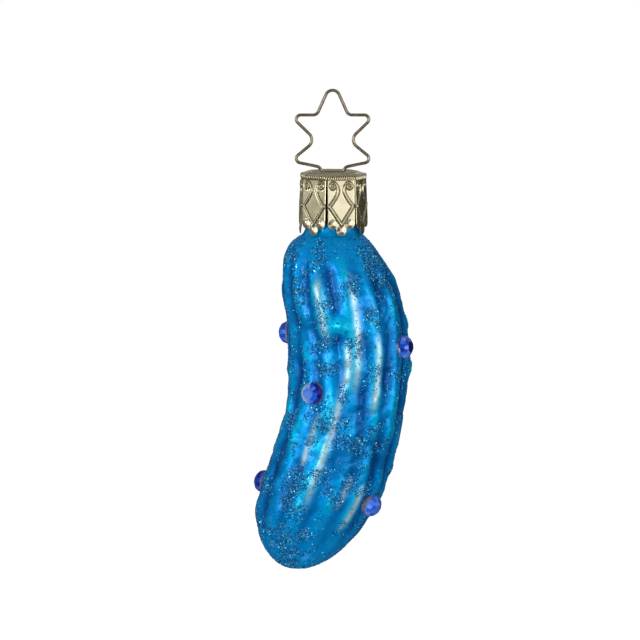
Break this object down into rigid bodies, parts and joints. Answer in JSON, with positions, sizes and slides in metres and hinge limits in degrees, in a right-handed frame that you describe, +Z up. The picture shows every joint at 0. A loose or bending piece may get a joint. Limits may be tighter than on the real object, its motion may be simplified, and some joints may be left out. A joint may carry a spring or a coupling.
{
  "type": "pickle ornament",
  "caption": "Blown-glass pickle tree ornament with a stamped crown cap, a star-shaped wire hanger and glued crystals. It hangs from a hook or thread.",
  "frame": {"origin": "where a hook bears, inside the top bend of the star hanger", "axes": "+Z up along the neck, front of the ornament towards -Y, +X to the right of the front"},
  "size_m": [0.0333, 0.0258, 0.1003],
  "materials": {
    "gold_wire": "polished champagne gold",
    "gold_cap": "bright stamped pale gold",
    "lacquered_glass": "silvered inside, translucent blue lacquer with glitter outside",
    "blue_crystal": "cut and polished, foiled back",
    "glue": "dried clear glue"
  },
  "bodies": {
    "hanger": {"star_hanger": "gold_wire"},
    "cap": {"crown_cap": "gold_cap"},
    "pickle": {"glass_pickle": "lacquered_glass", "crystal_front": "blue_crystal", "crystal_upper_right": "blue_crystal", "crystal_lower_right": "blue_crystal", "crystal_upper_left": "blue_crystal", "crystal_lower_left": "blue_crystal", "glue_front": "glue", "glue_upper_right": "glue", "glue_lower_right": "glue", "glue_upper_left": "glue", "glue_lower_left": "glue"}
  },
  "joints": [
    {"name": "hanger_pull", "type": "slide", "parent": "hanger", "child": "cap", "axis": [0, 0, -1], "range_m": [0, 0.003]},
    {"name": "pickle_turn", "type": "hinge", "parent": "cap", "child": "pickle", "pos_m": [0, 0, -0.022], "axis": [0, 0, 1], "continuous": true}
  ]
}
